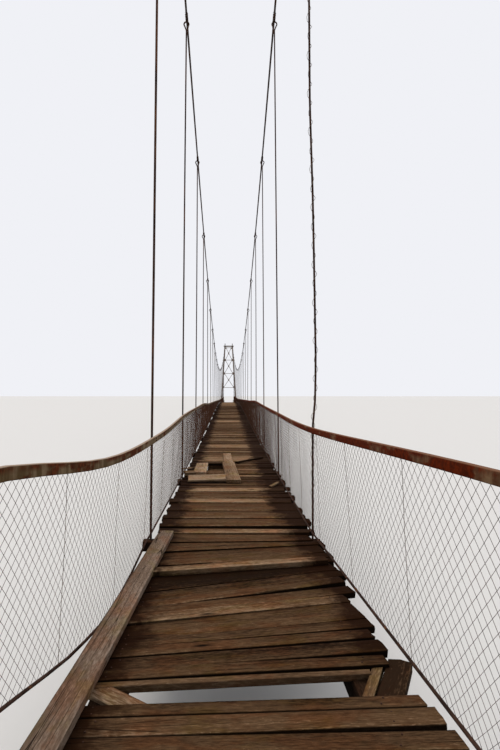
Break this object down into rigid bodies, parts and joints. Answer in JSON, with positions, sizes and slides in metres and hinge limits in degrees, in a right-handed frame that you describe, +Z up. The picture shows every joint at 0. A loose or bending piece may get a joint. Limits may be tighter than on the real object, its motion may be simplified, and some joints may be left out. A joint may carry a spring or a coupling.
{
  "type": "suspension footbridge, 1:10 scale model",
  "caption": "Long narrow suspension footbridge with a plank deck, rusty rod hangers, flat handrails, pipe towers and concrete anchor blocks, at 1:10.",
  "frame": {"origin": "middle of the bridge on the ground, under midspan", "axes": "+Y along the bridge from the near tower to the far one, +X to the right, +Z up"},
  "size_m": [0.34, 11.372, 1.0839],
  "materials": {
    "deck_boards": "weathered grey-brown planks, bleached and cracked",
    "kerb_board": "loose grey board with long cracks and knots",
    "deck_frame": "dark damp timber",
    "handrail_left": "worn grey paint over red-brown rust",
    "handrail_right": "orange-red rust with pale streaks",
    "hangers": "dark rusty steel rod",
    "main_cable": "dark rusty wire rope",
    "tower_steel": "old grey-brown paint with rust",
    "concrete": "rough weathered concrete"
  },
  "bodies": {
    "root": {"deck_boards_1": "deck_boards", "deck_boards_2": "deck_boards", "deck_boards_3": "deck_boards", "deck_boards_4": "deck_boards", "deck_boards_5": "deck_boards", "deck_boards_6": "deck_boards", "deck_frame_1": "deck_frame", "hangers_left_1": "hangers", "hangers_right_1": "hangers", "deck_frame_2": "deck_frame", "hangers_left_2": "hangers", "hangers_right_2": "hangers", "deck_frame_3": "deck_frame", "hangers_left_3": "hangers", "hangers_right_3": "hangers", "deck_frame_4": "deck_frame", "hangers_left_4": "hangers", "hangers_right_4": "hangers", "handrail_left_1": "handrail_left", "handrail_right_1": "handrail_right", "handrail_left_2": "handrail_left", "handrail_right_2": "handrail_right", "handrail_left_3": "handrail_left", "handrail_right_3": "handrail_right", "kerb_board": "kerb_board", "main_cable_left": "main_cable", "main_cable_right": "main_cable", "near_tower_leg_left": "tower_steel", "near_saddle_left": "tower_steel", "near_footing_left": "concrete", "near_anchor_left": "concrete", "near_tower_leg_right": "tower_steel", "near_saddle_right": "tower_steel", "near_footing_right": "concrete", "near_anchor_right": "concrete", "near_tower_top_beam": "tower_steel", "near_tower_bracing": "tower_steel", "near_abutment": "concrete", "far_tower_leg_left": "tower_steel", "far_saddle_left": "tower_steel", "far_footing_left": "concrete", "far_anchor_left": "concrete", "far_tower_leg_right": "tower_steel", "far_saddle_right": "tower_steel", "far_footing_right": "concrete", "far_anchor_right": "concrete", "far_tower_top_beam": "tower_steel", "far_tower_bracing": "tower_steel", "far_abutment": "concrete"}
  },
  "joints": []
}
